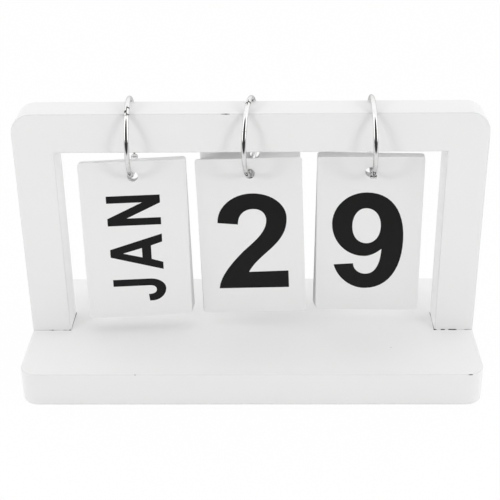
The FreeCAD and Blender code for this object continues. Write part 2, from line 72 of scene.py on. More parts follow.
class Tone:
    """A value, a colour or a place on a surface: one socket of a finish."""

    def __init__(self, finish, socket):
        self.finish = finish
        self.socket = socket

    def _sum(self, operation, *values):
        return self.finish.add("ShaderNodeMath", {"operation": operation}, dict(enumerate(values)))

    def __add__(self, other):
        return self._sum("ADD", self, other)

    __radd__ = __add__

    def __sub__(self, other):
        return self._sum("SUBTRACT", self, other)

    def __rsub__(self, other):
        return self._sum("SUBTRACT", other, self)

    def __mul__(self, other):
        return self._sum("MULTIPLY", self, other)

    __rmul__ = __mul__

    def __truediv__(self, other):
        return self._sum("DIVIDE", self, other)

    def __rtruediv__(self, other):
        return self._sum("DIVIDE", other, self)

    def __pow__(self, other):
        return self._sum("POWER", self, other)

    def __abs__(self):
        return self._sum("ABSOLUTE", self)

    def least(self, other):
        return self._sum("MINIMUM", self, other)

    def most(self, other):
        return self._sum("MAXIMUM", self, other)

    def share(self):
        """Held between 0 and 1."""
        return self.least(1.0).most(0.0)

    def ease(self, low, high):
        """0 up to low, 1 from high on, and a smooth rise between them."""
        return self.finish.add(
            "ShaderNodeMapRange",
            {"interpolation_type": "SMOOTHSTEP"},
            {"Value": self, "From Min": low, "From Max": high},
        )

    def out(self, name):
        """Another output of the same node."""
        return Tone(self.finish, self.socket.node.outputs[name])


class Finish:
    """One material, or the world's light, made node by node."""

    def __init__(self, owner):
        owner.use_nodes = True
        self.owner = owner
        self.tree = owner.node_tree
        self.tree.nodes.clear()

    def add(self, kind, settings=None, sockets=None, out=0):
        """A node of that type: its settings first, then the value or link of each socket."""
        made = self.tree.nodes.new(kind)
        for name, value in (settings or {}).items():
            if name == "stops":
                ramp = made.color_ramp.elements
                for place, _ in value[2:]:
                    ramp.new(place)
                for stop, (place, level) in zip(ramp, value):
                    stop.position = place
                    stop.color = grey(level)
            else:
                setattr(made, name, value)
        for name, value in (sockets or {}).items():
            if isinstance(value, Tone):
                self.tree.links.new(value.socket, made.inputs[name])
            else:
                made.inputs[name].default_value = value
        return Tone(self, made.outputs[out]) if made.outputs else None

    def place(self):
        """Where the point is on the resting object, in millimetres."""
        at = self.add("ShaderNodeTexCoord", out="Object")
        return self.vector("SCALE", at, Scale=1 / MM)

    def vector(self, operation, first, second=None, out=0, **sockets):
        values = {0: first}
        if second is not None:
            values[1] = second
        values.update(sockets)
        return self.add("ShaderNodeVectorMath", {"operation": operation}, values, out)

    def parts(self, vector):
        """A vector's x, y and z."""
        across = self.add("ShaderNodeSeparateXYZ", None, {0: vector})
        return across, across.out("Y"), across.out("Z")

    def noise(self, place, size, detail=2.0, roughness=0.5, stretch=(1, 1, 1)):
        """Cloudy noise, 0 to 1 about 0.5, whose clouds are size millimetres across."""
        if stretch != (1, 1, 1):
            place = self.vector("MULTIPLY", place, stretch)
        return self.add(
            "ShaderNodeTexNoise",
            None,
            {"Vector": place, "Scale": 1 / size, "Detail": detail, "Roughness": roughness},
        )

    def blend(self, share, first, second):
        """Goes from the first colour to the second by that share."""
        return self.add(
            "ShaderNodeMix", {"data_type": "RGBA"}, {0: share, 6: first, 7: second}, 2)

    def bump(self, height, depth):
        """The relief of that height, depth millimetres deep."""
        sockets = {"Height": height, "Distance": depth * MM, "Strength": 1.0}
        return self.add("ShaderNodeBump", None, sockets)

    def glow(self, kind, colour):
        """A light of that colour, at strength 1."""
        return self.add(kind, None, {"Color": colour, "Strength": 1.0})

    def cover(self, share, under, over):
        """One shader over another by that share."""
        return self.add("ShaderNodeMixShader", None, {0: share, 1: under, 2: over})

    def seen_and_mirrored(self):
        """Whether the camera looks here, also through glass, and whether metal mirrors it."""
        path = self.add("ShaderNodeLightPath", out="Is Camera Ray")
        return path.most(path.out("Is Transmission Ray")), path.out("Is Glossy Ray")

    def surface(self, **sockets):
        """The finished surface. Socket names have _ for their spaces."""
        named = {name.replace("_", " "): value for name, value in sockets.items()}
        shader = self.add("ShaderNodeBsdfPrincipled", None, named)
        self.add("ShaderNodeOutputMaterial", None, {0: shader})
        return self.owner


def new_finish(name):
    return Finish(bpy.data.materials.new(name))


def strongest(marks):
    """The largest of several marks at each point."""
    found = marks[0]
    for mark in marks[1:]:
        found = found.most(mark)
    return found


# Paint. Greys are the share of light sent back, and sizes are in millimetres.

PAINT_WHITES = (0.845, 0.865)
PAINT_WARMTH = 0.001
CLOUD, FLECK, PEEL, WAVER, BREAK = 38, 0.9, 1.6, 1.3, 0.7  # how large each noise's clouds are
WORN = {"grey": 0.70, "warmth": 0.004, "from": 0.12, "to": 0.85}
CRACK = {"grey": 0.035, "warmth": 0.03, "soft": 0.03, "rim": 0.45, "depth": 2.2}
PAINT_RELIEF = 0.022
BASE_CORNER = 9
ARCH_CORNER = 10

base_low, base_high = limits("base_board")
left_low, left_high = limits("left_post")
right_low, right_high = limits("right_post")
beam_low, beam_high = limits("top_beam")
front = left_low.y
foot = base_high.z


def beyond(value, low, high):
    """How far a value is outside low and high, less than 0 between them."""
    return abs(value - (low + high) / 2) - (high - low) / 2


def beyond_rounded(across, up, half_across, half_up, radius):
    """How far a point is outside a rectangle with round corners, less than 0 inside it."""
    side = abs(across) - (half_across - radius)
    top = abs(up) - (half_up - radius)
    corner = (side.most(0) ** 2 + top.most(0) ** 2) ** 0.5
    return corner + side.most(top).least(0) - radius


def base_edges(finish, place):
    """How far a point of the base's surface is from its nearest edge."""
    x, y, z = finish.parts(place)
    middle = (base_low + base_high) / 2
    half = (base_high - base_low) / 2
    plan = beyond_rounded(x - middle.x, y - middle.y, half.x, half.y, BASE_CORNER)
    return 0 - plan.least(beyond(z, base_low.z, base_high.z))


def arch_edges(finish, place):
    """How far a point of the arch's surface is from its nearest edge."""
    x, y, z = finish.parts(place)
    middle = (left_low.x + right_high.x) / 2
    half = (right_high.x - left_low.x) / 2
    outline = beyond_rounded(x - middle, z, half, beam_high.z, ARCH_CORNER)
    opening = beyond(x, left_high.x, right_low.x).most(z - beam_low.z)
    face = outline.most(0 - opening)
    return 0 - face.least(beyond(y, front, left_high.y))


def line_mark(finish, place, start, end):
    """How far the surface is from a straight line, and how far along it, 0 to 1."""
    along = Vector(end) - Vector(start)
    from_start = finish.vector("SUBTRACT", place, tuple(start))
    scaled = tuple(along / along.length_squared)
    share = finish.vector("DOT_PRODUCT", from_start, scaled, out="Value").share()
    nearest = finish.vector("SCALE", tuple(along), Scale=share)
    away = finish.vector("SUBTRACT", from_start, nearest)
    return finish.vector("LENGTH", away, out="Value"), share


def seam_mark(finish, place, start, end, width, stops):
    """A broken crack along a joint, 0 to 1, as dark along its way as the stops say."""
    away, share = line_mark(finish, place, start, end)
    dark = finish.add("ShaderNodeValToRGB", {"stops": stops}, {0: share})
    reach = dark * width * (0.35 + finish.noise(place, BREAK, 3, 0.7) * 1.3)
    inside = (1 - away / (reach + CRACK["soft"])).ease(0.0, CRACK["rim"])
    return inside * dark.ease(0.02, 0.9)


def chip_mark(finish, place, waver, spot, size, level):
    """A chip with a ragged rim, 0 to 1."""
    offset = finish.vector("SUBTRACT", place, spot)
    offset = finish.vector("DIVIDE", offset, size)
    away = finish.vector("LENGTH", offset, out="Value") + (waver - 0.5) * 0.9
    return (1 - away.ease(0.35, 1.0)) * level


def paint(name, edge_distance, seams=(), chips=()):
    """White paint on board: even, faintly mottled, thin on the edges, dark where it has cracked."""
    finish = new_finish(name)
    place = finish.place()
    cloud = finish.noise(place, CLOUD, 3)
    fleck = finish.noise(place, FLECK, 2, 0.6)
    peel = finish.noise(place, PEEL, 3, 0.55)
    waver = finish.noise(place, WAVER, 3, 0.65)
    thin, thick = (grey(level, PAINT_WARMTH) for level in PAINT_WHITES)
    colour = finish.blend(cloud, thin, thick)
    distance = edge_distance(finish, place) + (waver - 0.5) * 0.5
    worn = (1 - distance.ease(WORN["from"], WORN["to"])) * (0.25 + waver * 0.5).share()
    colour = finish.blend(worn, colour, grey(WORN["grey"], WORN["warmth"]))
    crack = strongest(
        [seam_mark(finish, place, *seam) for seam in seams]
        + [chip_mark(finish, place, waver, *chip) for chip in chips])
    return finish.surface(
        Base_Color=finish.blend(crack, colour, grey(CRACK["grey"], CRACK["warmth"])),
        Roughness=0.40 + cloud * 0.08 + fleck * 0.05 + crack * 0.4,
        Normal=finish.bump(peel * 0.5 + fleck * 0.12 - crack * CRACK["depth"], PAINT_RELIEF),
        Specular_IOR_Level=0.18,
    )


# The joints at the posts' feet: from where to where, how wide they gape, and how dark they are on
# the way. The first of each pair runs across the front, the second along the inner side.
LEFT_FOOT = [
    ((left_low.x, front, foot), (left_high.x, front, foot), 0.34,
     [(0, 0.35), (0.4, 0.4), (0.47, 0.62), (0.52, 0.8), (0.57, 0.45), (0.74, 0.28),
      (0.84, 0.62), (0.92, 0.4), (0.975, 0.95), (1, 0.7)]),
    ((left_high.x, front, foot), (left_high.x, left_high.y, foot), 0.4,
     [(0, 0.3), (0.12, 0.55), (0.45, 0.6), (0.8, 0.72), (0.93, 0.85), (1, 0.75)]),
]
RIGHT_FOOT = [
    ((right_low.x, front, foot), (right_high.x, front, foot), 0.46,
     [(0, 1.0), (0.04, 0.85), (0.08, 0.1), (0.15, 0.1), (0.19, 0.95), (0.26, 0.85), (0.3, 0.12),
      (0.35, 0.2), (0.39, 0.95), (0.55, 1.0), (0.6, 0.2), (0.76, 0.3), (0.815, 0.6), (1, 0.25)]),
    ((right_low.x, front, foot), (right_low.x, right_high.y, foot), 0.3,
     [(0, 0.85), (0.2, 0.62), (0.45, 0.5), (0.7, 0.55), (0.88, 0.8), (1, 0.6)]),
]

# Chips: their middle, their half sizes, and how dark they are.
BASE_CHIPS = [
    ((base_high.x - 6.8, base_low.y + 0.2, foot - 0.3), (2.6, 0.5, 0.4), 0.85),
    ((base_low.x + 58, base_low.y + 0.2, foot - 0.3), (0.7, 0.4, 0.4), 0.35),
    ((base_high.x - 44.1, front - 17.3, foot), (0.6, 0.5, 0.5), 0.22),
]
BEAM_CHIPS = [((beam_low.x + 103.6, front + 0.1, beam_high.z - 0.25), (2.7, 0.5, 0.38), 0.9)]

paints = {
    "base_board": paint("base_paint", base_edges, LEFT_FOOT + RIGHT_FOOT, BASE_CHIPS),
    "left_post": paint("left_post_paint", arch_edges, LEFT_FOOT),
    "right_post": paint("right_post_paint", arch_edges, RIGHT_FOOT),
    "top_beam": paint("beam_paint", arch_edges, chips=BEAM_CHIPS),
}


# Wood and metal

BEECH_DARK = (0.60, 0.42, 0.24, 1)
BEECH_LIGHT = (0.74, 0.56, 0.36, 1)
BEECH_FLECK = (0.36, 0.21, 0.1, 1)


def bare_wood(name):
    """Beech rod: straight grain along its length with short dark flecks."""
    finish = new_finish(name)
    place = finish.place()
    grain = finish.noise(place, 0.8, 4, 0.6, (1, 1, 0.08))
    fleck = finish.noise(place, 0.35, 2, 0.5, (1, 1, 0.2)).ease(0.62, 0.75)
    colour = finish.blend(grain, BEECH_DARK, BEECH_LIGHT)
    return finish.surface(
        Base_Color=finish.blend(fleck * 0.5, colour, BEECH_FLECK),
        Roughness=0.55 + grain * 0.2,
        Normal=finish.bump(grain - fleck * 0.5, 0.05),
        Specular_IOR_Level=0.4,
    )


def stained(finish, place, bright, dulled):
    """A metal's colour, duller where it is stained, and the stains themselves."""
    stain = finish.noise(place, 2.4, 3, 0.6)
    return finish.blend(stain.ease(0.35, 0.8), grey(bright), grey(dulled, 0.01)), stain


def steel(name, level, dull, line, stretch):
    """Plated steel: fine lines and small stains over a bright ground."""
    finish = new_finish(name)
    place = finish.place()
    lines = finish.noise(place, line, 3, 0.6, stretch)
    colour, stain = stained(finish, place, bright=level, dulled=level * 0.9)
    return finish.surface(
        Base_Color=colour,
        Metallic=1.0,
        Roughness=(dull + (lines - 0.5) * dull * 0.6 + stain * dull * 0.3).share(),
        Normal=finish.bump(lines, 0.004),
        Specular_Tint=grey(0.35),
    )


dowel_wood = bare_wood("beech_dowel")
screw_steel = steel("screw_plating", level=0.62, dull=0.3, line=0.25, stretch=(1, 1, 3))
rivet_steel = steel("rivet_plating", level=0.72, dull=0.22, line=0.2, stretch=(3, 1, 1))

# A ring's latch line, in millimetres: half the width over which its S steps across, and from how
# far outside the ring's middle it is drawn.
LATCH_STEP = 0.2
LATCH_FROM, LATCH_FULL = 8, 12


def latch_line(finish, place, ring, angle, reach, width):
    """A dark S across a ring's wire where its two ends hook together, 0 to 1. Angles are counted
    from the ring's lowest point towards the front."""
    centre = Vector(joints[ring + "_deck_swing"]["pos_m"]) / MM
    axis = Vector(joints[ring + "_ring_open"]["axis"])
    if axis.x < 0:
        axis = -axis
    up = (Vector((0, 0, 1)) - axis * axis.z).normalized()
    back = up.cross(axis)
    bend = math.radians(angle)
    outwards = back * -math.sin(bend) - up * math.cos(bend)
    onwards = back * -math.cos(bend) + up * math.sin(bend)
    from_centre = finish.vector("SUBTRACT", place, tuple(centre))
    out, on, side = (
        finish.vector("DOT_PRODUCT", from_centre, tuple(way), out="Value")
        for way in (outwards, onwards, axis))
    step = (side * (1 / LATCH_STEP)).most(-1).least(1)
    away = abs(on - step * reach) * (0.2 + abs(step).ease(0.8, 1.0) * 0.8)
    return (1 - away.ease(width * 0.5, width)) * out.ease(LATCH_FROM, LATCH_FULL)


def ring_chrome(ring, *lines):
    """Bright plating with a fine grain and a dark line where the wire's ends meet."""
    finish = new_finish(ring + "_ring_chrome")
    place = finish.place()
    grain = finish.noise(place, 0.3, 3, 0.6)
    colour, stain = stained(finish, place, bright=0.80, dulled=0.74)
    dark = strongest([latch_line(finish, place, ring, *line) for line in lines])
    return finish.surface(
        Base_Color=finish.blend(dark * (0.7 + grain * 0.6).share(), colour, grey(0.03)),
        Metallic=1.0,
        Roughness=(0.05 + grain * 0.02 + stain * 0.03 + dark * 0.4).share(),
        Normal=finish.bump(grain * 0.03 - dark, 0.12),
        Specular_Tint=grey(0.7),
    )


# Each latch line: its angle round the ring, how far its S reaches along the wire, and its width.
ring_finishes = {
    "month": ring_chrome("month", (153, 1.1, 0.5), (146, -0.6, 0.4)),
    "tens": ring_chrome("tens", (166, 0.5, 0.6), (206, 0.5, 0.6)),
    "ones": ring_chrome("ones", (200.5, 0.9, 0.5)),
}


# Card and print

CARD_WHITES = (0.84, 0.86)
FIBRE_GREY = 0.74
INK_BLACKS = (0.0115, 0.0145)
INK_WORN = 0.03


def card_stock(name):
    """Coated white card, smooth, with a trace of fibre."""
    finish = new_finish(name)
    place = finish.place()
    fibre = finish.noise(place, 0.35, 4, 0.7)
    cloud = finish.noise(place, 22, 3)
    dull, bright = (grey(level, 0.001) for level in CARD_WHITES)
    colour = finish.blend(cloud, dull, bright)
    return finish.surface(
        Base_Color=finish.blend(fibre.ease(0.55, 0.85) * 0.12, colour, grey(FIBRE_GREY, 0.004)),
        Roughness=0.48 + fibre * 0.12,
        Normal=finish.bump(fibre, 0.006),
        Specular_IOR_Level=0.2,
    )


def print_ink(name):
    """Black printing ink, satin, with a faint grain where the card shows through."""
    finish = new_finish(name)
    place = finish.place()
    grain = finish.noise(place, 0.22, 3, 0.7)
    cloud = finish.noise(place, 9, 2)
    dense, thin = (grey(level) for level in INK_BLACKS)
    colour = finish.blend(cloud, dense, thin)
    return finish.surface(
        Base_Color=finish.blend(grain.ease(0.6, 0.9) * 0.25, colour, grey(INK_WORN)),
        Roughness=0.42 + grain * 0.14,
        Normal=finish.bump(grain, 0.004),
        Specular_IOR_Level=0.12,
    )


white_card = card_stock("card_stock")
black_ink = print_ink("black_ink")


def finish_of(node):
    """The finish that belongs to a CAD node."""
    if node in paints:
        return paints[node]
    if node.endswith("_dowels"):
        return dowel_wood
    if node.endswith("_screws"):
        return screw_steel
    if node.endswith("_ring_pin"):
        return rivet_steel
    if "_ring_" in node:
        return ring_finishes[node.split("_")[0]]
    return white_card


for node, piece in nodes.items():
    if not piece.material_slots:
        piece.data.materials.append(finish_of(node))
    for slot in piece.material_slots:
        slot.material = finish_of(node)


# Figures and letters, drawn in millimetres: a figure about its card's middle, a letter from its
# lower left corner, after its width. A stroke's step is (x, y) for a straight side, six numbers
# for a free curve, or "v" or "h" for a quarter bend that leaves upright or level, with its pull
# last where it isn't round.

BASELINE = -28.36

FIGURES = {
    "2": [
        [(-16.93, 8.21), ("v", 1.07, 23.86), ("h", 18.14, 10.5),
         (18.14, 2.9, 14.6, -1.9, 8.6, -7.4), (3.5, -12.0, 0.1, -15.2, -2.14, -19.3),
         (18.14, -18.95), (18.14, BASELINE), (-17.86, BASELINE),
         (-17.0, -20.8, -9.5, -12.8, -4.4, -7.5), (0.6, -2.9, 7.79, 2.6, 7.79, 9.3),
         ("v", 1.43, 15.43, 0.6), ("h", -6.57, 7.2, 0.6)],
    ],
    "9": [
        [(-18.7, 6.57), ("v", -1.64, 23.5), ("h", 17.57, -2.0, 0.63), ("v", -1.3, -29.86, 0.62),
         (-8.6, -29.86, -15.6, -24.0, -17.5, -16.36), (-7.5, -15.7), ("v", -1.07, -21.64),
         (3.9, -21.64, 6.4, -16.2, 6.7, -7.5), (4.6, -9.4, 1.6, -11.57, -2.14, -11.57),
         ("h", -18.7, 6.57)],
        [(-8.43, 5.14), ("v", -1.64, 14.93, 0.59), ("h", 5.93, 5.0, 0.59),
         ("v", -1.07, -4.36, 0.59), ("h", -8.43, 5.14, 0.59)],
    ],
    "0": [
        [(-17.9, -3.7), ("v", 0, 22.0, 0.6), ("h", 17.9, -3.7, 0.6), ("v", 0, -29.4, 0.6),
         ("h", -17.9, -3.7, 0.6)],
        [(-7.7, -3.7), ("v", 0, 13.9, 0.62), ("h", 7.7, -3.7, 0.62), ("v", 0, -21.3, 0.62),
         ("h", -7.7, -3.7, 0.62)],
    ],
    "1": [
        [(8.2, BASELINE), (8.2, 23.6), (0.4, 23.6), (-1.6, 18.4, -6.4, 14.9, -12.8, 13.2),
         (-12.8, 4.9), (-8.6, 6.0, -5.0, 7.9, -1.9, 10.6), (-1.9, BASELINE)],
    ],
    "3": [
        [(-16.6, 10.0), ("v", 0, 23.7), ("h", 15.9, 10.6), (15.9, 5.0, 12.8, 0.6, 8.4, -1.5),
         (14.6, -3.3, 17.9, -7.6, 17.9, -13.4), ("v", 0, -29.6), ("h", -17.4, -14.2),
         (-7.5, -13.0), ("v", 0.1, -21.4), ("h", 7.7, -13.9), ("v", -0.4, -6.4), (-4.6, -6.4),
         (-4.6, 1.6), (-0.6, 1.6), ("h", 6.0, 9.0), ("v", 0.0, 15.6), ("h", -7.0, 8.7)],
    ],
    "4": [
        [(11.2, BASELINE), (11.2, -17.2), (17.9, -17.2), (17.9, -9.0), (11.2, -9.0), (11.2, 23.6),
         (2.6, 23.6), (-18.6, -9.4), (-18.6, -17.2), (1.6, -17.2), (1.6, BASELINE)],
        [(1.6, -9.0), (-9.4, -9.0), (1.6, 8.4)],
    ],
    "5": [
        [(14.9, 23.1), (-11.8, 23.1), (-16.3, -5.1), (-7.9, -6.3),
         (-6.0, -3.7, -3.4, -2.5, -0.2, -2.5), ("h", 7.7, -11.9), ("v", -0.2, -21.4),
         ("h", -7.6, -14.6), (-17.6, -13.6), ("v", -0.2, -29.6), ("h", 17.9, -11.7),
         ("v", 2.2, 5.4), (-1.6, 5.4, -4.8, 4.3, -7.1, 2.4), (-5.1, 14.5), (14.9, 14.5)],
    ],
    "7": [
        [(-17.2, 23.1), (17.9, 23.1), (17.9, 15.4), (8.4, 4.6, 2.6, -11.6, 2.2, BASELINE),
         (-8.2, BASELINE), (-7.6, -13.4, -1.8, 2.4, 7.6, 14.3), (-17.2, 14.3)],
    ],
    "8": [
        [(0, 23.8), ("h", 16.2, 10.6), (16.2, 5.6, 13.6, 1.8, 9.4, -0.7),
         (14.9, -3.4, 18.0, -8.0, 18.0, -13.8), ("v", 0, -29.7), ("h", -18.0, -13.8),
         (-18.0, -8.0, -14.9, -3.4, -9.4, -0.7), (-13.6, 1.8, -16.2, 5.6, -16.2, 10.6),
         ("v", 0, 23.8)],
        [(0, 16.2), ("h", 6.6, 9.8), ("v", 0, 3.2), ("h", -6.6, 9.8), ("v", 0, 16.2)],
        [(0, -4.8), ("h", 7.9, -13.3), ("v", 0, -21.8), ("h", -7.9, -13.3), ("v", 0, -4.8)],
    ],
}

# The letters: how tall they are, how far the round ones reach over and under, the underside
# of a top bar, and how wide a stem is.
CAP = 26.7
HALF = CAP / 2
TOP, BOTTOM = CAP + 0.45, -0.45
BAR = 22.3
STEM = 3.95

LETTERS = {
    "A": (19.57, [
        [(0, 0), (7.5, 26.5), (11.71, 26.5), (19.57, 0), (15.21, 0), (13.28, 5.79), (5.94, 5.79),
         (4.0, 0)],
        [(6.94, 10.43), (12.07, 10.43), (9.44, 20.07)],
    ]),
    "B": (16.6, [
        [(0, 0), (0, CAP), (8.6, CAP), ("h", 15.3, 19.8), (15.3, 17.2, 14.2, 15.2, 12.1, 14.2),
         (14.9, 13.2, 16.6, 10.8, 16.6, 7.7), ("v", 9.0, 0)],
        [(STEM, 22.4), (8.0, 22.4), ("h", 11.3, 19.2), ("v", 7.8, 16.0), (STEM, 16.0)],
        [(STEM, 11.7), (8.6, 11.7), ("h", 12.5, 8.0), ("v", 8.6, 4.3), (STEM, 4.3)],
    ]),
    "C": (17.8, [
        [(17.5, 18.7), (16.9, 24.0, 13.8, TOP, 9.2, TOP), ("h", 0, HALF), ("v", 9.2, BOTTOM),
         (14.2, BOTTOM, 17.4, 3.2, 17.8, 8.9), (13.9, 9.4), (13.5, 6.0, 11.8, 4.1, 9.2, 4.1),
         ("h", 4.0, HALF), ("v", 9.2, 22.6), (11.6, 22.6, 13.2, 21.0, 13.6, 18.0)],
    ]),
    "D": (16.7, [
        [(0, 0), (0, CAP), (7.6, CAP), ("h", 16.7, HALF), ("v", 7.6, 0)],
        [(STEM, BAR), (7.3, BAR), ("h", 12.7, HALF), ("v", 7.3, 4.4), (STEM, 4.4)],
    ]),
    "E": (14.6, [
        [(0, 0), (0, CAP), (14.2, CAP), (14.2, BAR), (STEM, BAR), (STEM, 16.1), (13.3, 16.1),
         (13.3, 11.7), (STEM, 11.7), (STEM, 4.5), (14.6, 4.5), (14.6, 0)],
    ]),
    "F": (13.8, [
        [(0, 0), (0, CAP), (13.8, CAP), (13.8, BAR), (STEM, BAR), (STEM, 15.7), (12.5, 15.7),
         (12.5, 11.3), (STEM, 11.3), (STEM, 0)],
    ]),
    "G": (17.8, [
        [(17.3, 18.9), (16.6, 24.2, 13.7, TOP, 9.3, TOP), ("h", 0, HALF), ("v", 9.4, BOTTOM),
         (12.8, BOTTOM, 15.9, 1.2, 17.8, 3.6), (17.8, 14.3), (9.4, 14.3), (9.4, 10.1),
         (13.9, 10.1), (13.9, 5.6), (12.6, 4.7, 11.1, 4.1, 9.5, 4.1), ("h", 4.0, HALF),
         ("v", 9.3, 22.6), (11.5, 22.6, 12.9, 21.2, 13.4, 18.2)],
    ]),
    "J": (12.5, [
        [(12.5, 26.13), (12.5, 7.23), ("v", 6.9, -0.77), ("h", 0.02, 6.6), (0.0, 7.86),
         (3.8, 8.29), (3.8, 5.6, 4.6, 4.13, 6.2, 4.13), (8.0, 4.13, 8.7, 5.4, 8.7, 7.9),
         (8.7, 26.13)],
    ]),
    "L": (13.4, [
        [(0, 0), (0, CAP), (STEM, CAP), (STEM, 4.5), (13.4, 4.5), (13.4, 0)],
    ]),
    "M": (18.6, [
        [(0, 0), (0, CAP), (5.4, CAP), (9.3, 8.0), (13.2, CAP), (18.6, CAP), (18.6, 0),
         (14.95, 0), (14.95, 20.6), (10.9, 0), (7.7, 0), (3.65, 20.6), (3.65, 0)],
    ]),
    "N": (15.95, [
        [(0, 0), (0, 26.73), (STEM, 26.73), (12.15, 9.0), (12.15, 26.73), (15.95, 26.73),
         (15.95, 0), (11.75, 0), (3.85, 17.03), (3.85, 0)],
    ]),
    "O": (18.8, [
        [(0, HALF), ("v", 9.4, TOP, 0.57), ("h", 18.8, HALF, 0.57), ("v", 9.4, BOTTOM, 0.57),
         ("h", 0, HALF, 0.57)],
        [(4.0, HALF), ("v", 9.4, 22.6, 0.57), ("h", 14.8, HALF, 0.57), ("v", 9.4, 4.1, 0.57),
         ("h", 4.0, HALF, 0.57)],
    ]),
    "P": (15.7, [
        [(0, 0), (0, CAP), (8.7, CAP), ("h", 15.7, 18.5), ("v", 8.7, 10.3), (STEM, 10.3),
         (STEM, 0)],
        [(STEM, BAR), (8.2, BAR), ("h", 11.7, 18.5), ("v", 8.2, 14.7), (STEM, 14.7)],
    ]),
    "R": (17.2, [
        [(0, 0), (0, CAP), (9.3, CAP), ("h", 16.1, 19.2), (16.1, 15.6, 14.3, 13.3, 11.2, 12.3),
         (17.2, 0), (12.7, 0), (7.4, 11.4), (STEM, 11.4), (STEM, 0)],
        [(STEM, BAR), (8.7, BAR), ("h", 12.1, 19.1), ("v", 8.7, 15.7), (STEM, 15.7)],
    ]),
    "S": (16.2, [
        [(15.3, 18.9), (15.2, 24.2, 12.4, TOP, 8.0, TOP), ("h", 0.7, 19.6),
         (0.7, 15.4, 3.6, 13.6, 7.6, 12.4), (10.8, 11.4, 12.2, 10.6, 12.2, 7.9),
         (12.2, 5.3, 10.6, 4.0, 8.1, 4.0), (5.5, 4.0, 4.1, 5.5, 3.9, 8.5), (0, 8.5),
         (0, 2.8, 3.2, BOTTOM, 8.1, BOTTOM), ("h", 16.2, 7.9),
         (16.2, 12.6, 13.0, 14.4, 8.9, 15.6), (6.0, 16.5, 4.6, 17.3, 4.6, 19.6),
         (4.6, 21.6, 5.8, 22.7, 8.0, 22.7), (10.3, 22.7, 11.4, 21.4, 11.5, 18.9)],
    ]),
    "T": (15.8, [
        [(5.95, 0), (5.95, BAR), (0, BAR), (0, CAP), (15.8, CAP), (15.8, BAR), (9.85, BAR),
         (9.85, 0)],
    ]),
    "U": (16.0, [
        [(0, CAP), (3.9, CAP), (3.9, 9.4), ("v", 8.0, 4.1), ("h", 12.1, 9.4), (12.1, CAP),
         (16.0, CAP), (16.0, 9.4), ("v", 8.0, -0.5), ("h", 0, 9.4)],
    ]),
    "V": (18.3, [
        [(0, CAP), (4.3, CAP), (9.15, 6.0), (14.0, CAP), (18.3, CAP), (11.3, 0), (7.0, 0)],
    ]),
    "Y": (18.2, [
        [(0, CAP), (4.5, CAP), (9.1, 15.9), (13.7, CAP), (18.2, CAP), (11.05, 10.6), (11.05, 0),
         (7.15, 0), (7.15, 10.6)],
    ]),
}
CURVE_STEPS = 12
ROUND_PULL = 0.5523


def bend(way, kind, pull):
    """How a quarter bend's two handles lie from its start and from its end."""
    upright, level = Vector((0, way.y * pull)), Vector((way.x * pull, 0))
    return (upright, -level) if kind == "v" else (level, -upright)


def trace(steps):
    """The points round one outline."""
    points = [Vector(steps[0])]
    for step in steps[1:]:
        here = points[-1]
        if len(step) == 2:
            points.append(Vector(step))
            continue
        if isinstance(step[0], str):
            kind, end = step[0], Vector(step[1:3])
            leave, arrive = bend(end - here, kind, step[3] if len(step) > 3 else ROUND_PULL)
            first, second = here + leave, end + arrive
        else:
            first, second, end = Vector(step[0:2]), Vector(step[2:4]), Vector(step[4:6])
        for i in range(1, CURVE_STEPS + 1):
            t = i / CURVE_STEPS
            u = 1 - t
            points.append(
                here * u ** 3 + first * (3 * u * u * t) + second * (3 * u * t * t) + end * t ** 3)
    if (points[-1] - points[0]).length < 1e-6:
        points.pop()
    return points


# A 6 is the 9 upside down. This is twice the way to the point round which it is turned.
SIX_TURN = Vector((-1.14, -6.36))


def figure(character):
    """One figure's outlines, about the card's middle."""
    if character == "6":
        return [[SIX_TURN - point for point in trace(steps)] for steps in FIGURES["9"]]
    return [trace(steps) for steps in FIGURES[character]]


# A month's word on its card: the gap between letters, the longest it may be, where its middle is
# above the card's middle, and how far right its letters stand.
LETTER_GAP = 5.02
WORD_LENGTH = 64
WORD_MIDDLE = -4.65
WORD_LINE = 12.93


def word(text):
    """A month's three letters, which read upwards along the card."""
    widths = [LETTERS[letter][0] for letter in text]
    gap = min(LETTER_GAP, (WORD_LENGTH - sum(widths)) / 2)
    at = WORD_MIDDLE - (sum(widths) + 2 * gap) / 2
    outlines = []
    for letter, width in zip(text, widths):
        for steps in LETTERS[letter][1]:
            outlines.append([Vector((WORD_LINE - p.y, at + p.x)) for p in trace(steps)])
        at += width + gap
    return outlines


# Which faces of a card count as its front and as its cut edges, by how far they look forwards.
FRONT_LOOK = 0.7
EDGE_LOOK = 0.2


class CardFace:
    """Where a card's front is: its middle and its directions, read from the CAD node."""

    def __init__(self, node):
        mesh = nodes[node].data
        faces = [(face.area, face.normal.copy()) for face in mesh.polygons]
        ahead = Vector((0, 0, 0))
        for area, normal in faces:
            if normal.y < -FRONT_LOOK:
                ahead += normal * area
        self.out = ahead.normalized()
        cut_edges = [face for face in faces if abs(face[1].dot(self.out)) < EDGE_LOOK]
        side = max(cut_edges, key=lambda face: face[0])[1]
        self.right = side if side.x > 0 else -side
        self.up = self.right.cross(self.out)
        if self.up.z < 0:
            self.up = -self.up
        middle = Vector((0, 0, 0))
        for direction in (self.right, self.up):
            reach = [vertex.co.dot(direction) for vertex in mesh.vertices]
            middle += direction * (min(reach) + max(reach)) / 2
        self.middle = middle + self.out * max(v.co.dot(self.out) for v in mesh.vertices)

    def at(self, point, proud):
        """A point of the card's face, that many millimetres in front of it."""
        return self.middle + (self.right * point.x + self.up * point.y + self.out * proud) * MM


def is_inside(point, outline):
    """Whether the outline goes round the point."""
    inside = False
    for a, b in zip(outline, outline[1:] + outline[:1]):
        if (a.y > point.y) != (b.y > point.y):
            if point.x < a.x + (b.x - a.x) * (point.y - a.y) / (b.y - a.y):
                inside = not inside
    return inside


